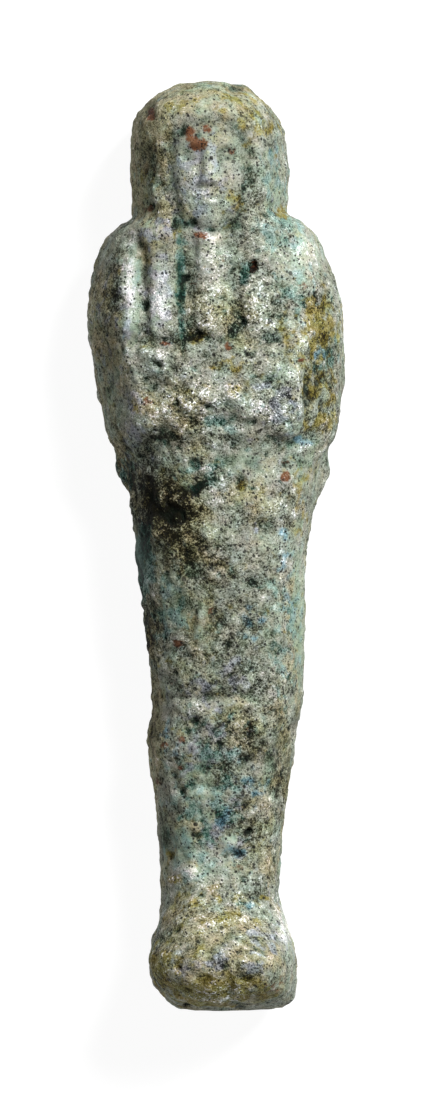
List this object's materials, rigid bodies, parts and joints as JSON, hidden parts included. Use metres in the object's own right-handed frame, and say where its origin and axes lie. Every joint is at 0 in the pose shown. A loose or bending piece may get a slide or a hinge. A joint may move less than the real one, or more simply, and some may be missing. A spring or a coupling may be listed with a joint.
{
  "type": "ushabti figurine",
  "caption": "Small mummiform funerary figurine of weathered moulded faience, with a tripartite wig and crossed arms, lying on its flat back.",
  "frame": {"origin": "under the middle of the figurine's box, on the surface it lies on", "axes": "+Y towards the head, +Z out of the figurine's front, +X towards the viewer's right when looking at the front with the head up"},
  "size_m": [0.0256, 0.093, 0.0183],
  "materials": {
    "faience": "weathered, matt and pitted"
  },
  "bodies": {
    "root": {"figurine": "faience"}
  },
  "joints": []
}
